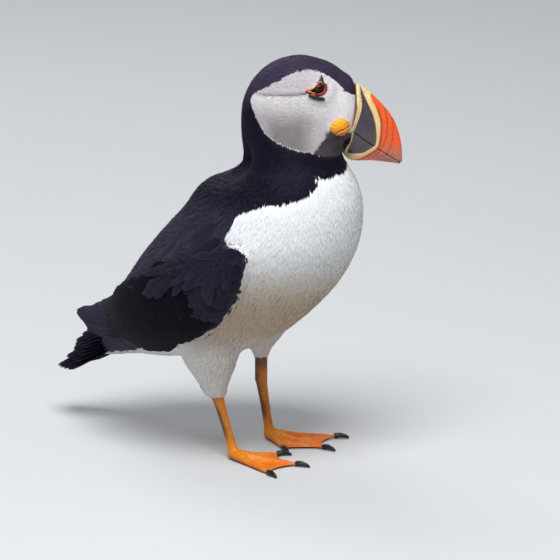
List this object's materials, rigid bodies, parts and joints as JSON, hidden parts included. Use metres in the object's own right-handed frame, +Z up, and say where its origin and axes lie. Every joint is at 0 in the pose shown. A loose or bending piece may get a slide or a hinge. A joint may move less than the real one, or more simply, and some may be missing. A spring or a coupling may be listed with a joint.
{
  "type": "atlantic puffin",
  "caption": "Life-size still model of a standing Atlantic puffin in breeding plumage, head turned to its left, with a deep banded bill and webbed orange feet.",
  "frame": {"origin": "on the floor, under the centre of the bird's bounding box", "axes": "+Z up, +X the way the breast faces, +Y the bird's left"},
  "size_m": [0.194, 0.102, 0.2159],
  "materials": {
    "face_feathers": "matte",
    "black_plumage": "matte",
    "white_plumage": "matte",
    "loose_black_feathers": "matte",
    "orange_skin": "satin",
    "red_horn": "satin",
    "pale_horn": "satin",
    "gape_skin": "satin",
    "dark_horn": "satin",
    "eye_surface": "gloss"
  },
  "bodies": {
    "root": {"head": "face_feathers", "neck": "black_plumage", "trunk": "white_plumage", "rump": "loose_black_feathers", "tail": "loose_black_feathers", "bill_base": "pale_horn", "bill_upper": "red_horn", "bill_lower": "red_horn", "eye_left": "eye_surface", "eye_horn_upper_left": "dark_horn", "eye_horn_lower_left": "dark_horn", "gape_left": "gape_skin", "wing_left": "loose_black_feathers", "flight_left": "loose_black_feathers", "thigh_left": "white_plumage", "shank_left": "orange_skin", "foot_left": "orange_skin", "claw_outer_left": "dark_horn", "claw_middle_left": "dark_horn", "claw_inner_left": "dark_horn", "eye_right": "eye_surface", "eye_horn_upper_right": "dark_horn", "eye_horn_lower_right": "dark_horn", "gape_right": "gape_skin", "wing_right": "loose_black_feathers", "flight_right": "loose_black_feathers", "thigh_right": "white_plumage", "shank_right": "orange_skin", "foot_right": "orange_skin", "claw_outer_right": "dark_horn", "claw_middle_right": "dark_horn", "claw_inner_right": "dark_horn"}
  },
  "joints": []
}
